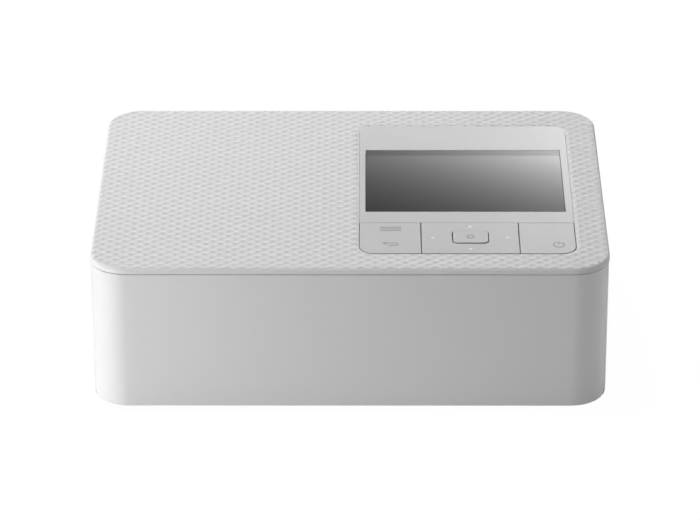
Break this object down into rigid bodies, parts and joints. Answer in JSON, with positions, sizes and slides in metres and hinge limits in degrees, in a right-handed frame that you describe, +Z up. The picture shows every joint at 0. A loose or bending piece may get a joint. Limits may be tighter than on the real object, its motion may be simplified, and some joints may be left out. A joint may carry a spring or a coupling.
{
  "type": "compact photo printer",
  "caption": "Low white box-shaped dye transfer photo printer with a lattice-textured top, a screen and key panel, and hinged front and side covers.",
  "frame": {"origin": "middle of the footprint, on the surface that the feet stand on", "axes": "+Z up, front at -Y, +X to the right seen from the front"},
  "size_m": [0.1822, 0.133, 0.0576],
  "materials": {
    "cover_white": "white textured ABS, satin",
    "panel_white": "smooth white ABS, fine satin",
    "inner_grey": "grey moulded ABS",
    "window_clear": "clear acrylic",
    "display_dark": "dark display glass",
    "gasket_grey": "foam gasket",
    "rubber_dark": "dull rubber",
    "silicone_grey": "silicone",
    "board_green": "solder resist",
    "sheet_steel": "zinc plated sheet",
    "bright_steel": "ground steel",
    "socket_steel": "tinned sheet",
    "alloy": "extruded, plain",
    "brass": "turned",
    "gear_white": "acetal",
    "black_plastic": "black moulded",
    "cassette_grey": "grey moulded",
    "film_dark": "coated film",
    "spool_yellow": "film wound on a plastic core",
    "head_ceramic": "glazed ceramic",
    "cable_white": "flat cable"
  },
  "bodies": {
    "housing": {"base_tray": "cover_white", "rubber_feet": "rubber_dark", "body_shell": "cover_white", "front_frame": "inner_grey", "hinge_pins": "bright_steel", "top_cover": "cover_white", "panel_plate": "panel_white", "display_window": "window_clear", "display_gasket": "gasket_grey", "display_module": "display_dark", "display_holder": "sheet_steel", "key_domes": "silicone_grey", "key_board": "board_green", "flat_cable": "cable_white", "main_board": "board_green", "card_socket": "socket_steel", "data_socket": "socket_steel", "power_board": "board_green", "dc_inlet": "black_plastic", "battery_contacts": "black_plastic", "fan_frame": "black_plastic", "side_plate_left": "sheet_steel", "side_plate_right": "sheet_steel", "paper_guide": "inner_grey", "tray_guide": "inner_grey", "motor_bracket": "sheet_steel", "feed_motor": "bright_steel", "shaft_bushes": "gear_white", "head_pivot_rod": "bright_steel", "head_motor": "bright_steel", "ink_case": "cassette_grey", "ink_ribbon": "film_dark", "screws": "bright_steel"},
    "front_door": {"front_cover": "cover_white"},
    "side_door": {"side_cover": "cover_white"},
    "menu_back_rocker": {"menu_key": "panel_white"},
    "four_way_plate": {"nav_rocker": "inner_grey"},
    "four_way_cap": {"nav_key": "panel_white"},
    "set_button": {"ok_key": "panel_white"},
    "power_button": {"power_key": "panel_white"},
    "capstan": {"capstan_roller": "bright_steel", "capstan_gear": "gear_white"},
    "idler_1": {"idler_gear_1": "gear_white"},
    "idler_2": {"idler_gear_2": "gear_white"},
    "idler_3": {"idler_gear_3": "gear_white"},
    "idler_4": {"idler_gear_4": "gear_white"},
    "pickup": {"pickup_roller": "rubber_dark", "pickup_gear": "gear_white"},
    "feed_pinion": {"motor_pinion": "brass"},
    "take_up": {"take_up_gear": "gear_white", "take_up_spool": "spool_yellow"},
    "supply": {"supply_spool": "spool_yellow"},
    "platen": {"platen_roller": "rubber_dark"},
    "pinch": {"pinch_roller": "silicone_grey"},
    "fan": {"fan_rotor": "black_plastic"},
    "head": {"head_arm": "sheet_steel", "heat_sink": "alloy", "thermal_head": "head_ceramic"},
    "cam": {"head_cam": "gear_white"},
    "press_pinion": {"head_pinion": "brass"}
  },
  "joints": [
    {"name": "front_cover_hinge", "type": "hinge", "parent": "housing", "child": "front_door", "pos_m": [0, -0.0621, 0.0068], "axis": [1, 0, 0], "range_deg": [0, 90]},
    {"name": "side_cover_hinge", "type": "hinge", "parent": "housing", "child": "side_door", "pos_m": [0.0897, 0.049, 0.03425], "axis": [0, 0, 1], "range_deg": [0, 95]},
    {"name": "menu_back_key_rock", "type": "hinge", "parent": "housing", "child": "menu_back_rocker", "pos_m": [0.01425, -0.0416, 0.0558], "axis": [1, 0, 0], "range_deg": [-1.5, 1.5], "stiffness_Nm_per_rad": 0.4},
    {"name": "four_way_key_up_down", "type": "hinge", "parent": "housing", "child": "four_way_plate", "pos_m": [0.04258, -0.0416, 0.0552], "axis": [1, 0, 0], "range_deg": [-1.2, 1.2], "stiffness_Nm_per_rad": 0.5},
    {"name": "four_way_key_left_right", "type": "hinge", "parent": "four_way_plate", "child": "four_way_cap", "pos_m": [0.04258, -0.0416, 0.0552], "axis": [0, 1, 0], "range_deg": [-1.2, 1.2], "stiffness_Nm_per_rad": 0.8},
    {"name": "set_key_press", "type": "slide", "parent": "housing", "child": "set_button", "axis": [0, 0, -1], "range_m": [0, 0.0005], "stiffness_N_per_m": 600},
    {"name": "power_key_press", "type": "slide", "parent": "housing", "child": "power_button", "axis": [0, 0, -1], "range_m": [0, 0.0005], "stiffness_N_per_m": 600},
    {"name": "capstan_turn", "type": "hinge", "parent": "housing", "child": "capstan", "pos_m": [0, 0.04778, 0.0158], "axis": [1, 0, 0], "continuous": true},
    {"name": "idler_1_turn", "type": "hinge", "parent": "housing", "child": "idler_1", "pos_m": [0, 0.03172, 0.01793], "axis": [1, 0, 0], "continuous": true},
    {"name": "idler_2_turn", "type": "hinge", "parent": "housing", "child": "idler_2", "pos_m": [0, 0.01566, 0.02007], "axis": [1, 0, 0], "continuous": true},
    {"name": "idler_3_turn", "type": "hinge", "parent": "housing", "child": "idler_3", "pos_m": [0, -0.0004, 0.0222], "axis": [1, 0, 0], "continuous": true},
    {"name": "idler_4_turn", "type": "hinge", "parent": "housing", "child": "idler_4", "pos_m": [0, -0.01646, 0.02433], "axis": [1, 0, 0], "continuous": true},
    {"name": "pickup_turn", "type": "hinge", "parent": "housing", "child": "pickup", "pos_m": [0, -0.03252, 0.02647], "axis": [1, 0, 0], "continuous": true},
    {"name": "feed_pinion_turn", "type": "hinge", "parent": "housing", "child": "feed_pinion", "pos_m": [0, -0.0004, 0.0339], "axis": [1, 0, 0], "continuous": true},
    {"name": "take_up_turn", "type": "hinge", "parent": "housing", "child": "take_up", "pos_m": [0, -0.01, 0.0339], "axis": [1, 0, 0], "continuous": true},
    {"name": "supply_turn", "type": "hinge", "parent": "housing", "child": "supply", "pos_m": [0, 0.034, 0.0339], "axis": [1, 0, 0], "continuous": true},
    {"name": "platen_turn", "type": "hinge", "parent": "housing", "child": "platen", "pos_m": [0, 0.012, 0.0127], "axis": [1, 0, 0], "continuous": true},
    {"name": "pinch_turn", "type": "hinge", "parent": "housing", "child": "pinch", "pos_m": [0, 0.04778, 0.0233], "axis": [1, 0, 0], "continuous": true},
    {"name": "fan_turn", "type": "hinge", "parent": "housing", "child": "fan", "pos_m": [0.055, 0.0601, 0.0365], "axis": [0, 1, 0], "continuous": true},
    {"name": "press_cam_turn", "type": "hinge", "parent": "housing", "child": "cam", "pos_m": [0, 0.058, 0.0411], "axis": [1, 0, 0], "range_deg": [0, 120]},
    {"name": "head_swing", "type": "hinge", "parent": "housing", "child": "head", "pos_m": [0, 0.0505, 0.0476], "axis": [1, 0, 0], "range_deg": [0, 4]},
    {"name": "press_pinion_turn", "type": "hinge", "parent": "housing", "child": "press_pinion", "pos_m": [0, 0.0502, 0.0411], "axis": [1, 0, 0], "range_deg": [-192, 0]}
  ],
  "couplings": [
    {"joint": "idler_1_turn", "follows": "capstan_turn", "ratio": -1},
    {"joint": "idler_2_turn", "follows": "capstan_turn", "ratio": 1},
    {"joint": "idler_3_turn", "follows": "capstan_turn", "ratio": -1},
    {"joint": "idler_4_turn", "follows": "capstan_turn", "ratio": 1},
    {"joint": "pickup_turn", "follows": "capstan_turn", "ratio": -1},
    {"joint": "feed_pinion_turn", "follows": "capstan_turn", "ratio": 2.25},
    {"joint": "take_up_turn", "follows": "capstan_turn", "ratio": -1.35},
    {"joint": "pinch_turn", "follows": "capstan_turn", "ratio": -1.25},
    {"joint": "supply_turn", "follows": "capstan_turn", "ratio": -0.85263},
    {"joint": "press_cam_turn", "follows": "head_swing", "ratio": 30},
    {"joint": "press_pinion_turn", "follows": "head_swing", "ratio": -48}
  ]
}
